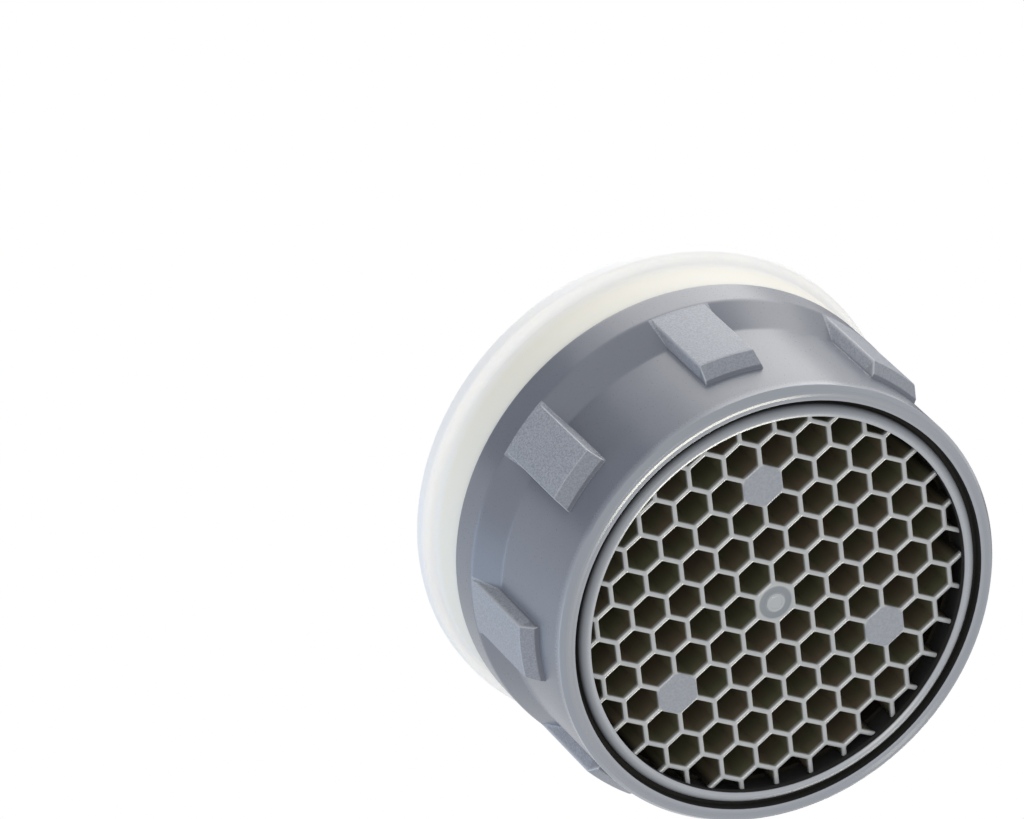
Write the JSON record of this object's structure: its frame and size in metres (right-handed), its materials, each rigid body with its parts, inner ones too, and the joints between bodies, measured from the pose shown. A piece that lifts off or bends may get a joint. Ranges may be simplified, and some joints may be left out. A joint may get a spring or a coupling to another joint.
{
  "type": "tap aerator insert",
  "caption": "Round moulded tap aerator insert: lugged housing, honeycomb outlet, mixing grids, jet splitter, dome sieve and a soft seal ring at the inlet.",
  "frame": {"origin": "centre of the flat outlet rim, on which the part stands", "axes": "+Z along the axis, from the outlet to the inlet; one lug is centred on +X"},
  "size_m": [0.0222, 0.0222, 0.0154],
  "materials": {
    "housing": "satin grey moulded plastic",
    "honeycomb": "satin pale grey moulded plastic, olive brown inside the cells",
    "grid": "dark olive moulded plastic",
    "splitter": "dark olive moulded plastic",
    "seal": "milky translucent soft plastic",
    "sieve": "natural pale moulded plastic"
  },
  "bodies": {
    "root": {"housing": "housing", "honeycomb_straightener": "honeycomb", "lower_mixing_grid": "grid", "upper_mixing_grid": "grid", "jet_splitter": "splitter", "seal_ring": "seal", "dome_sieve": "sieve"}
  },
  "joints": []
}
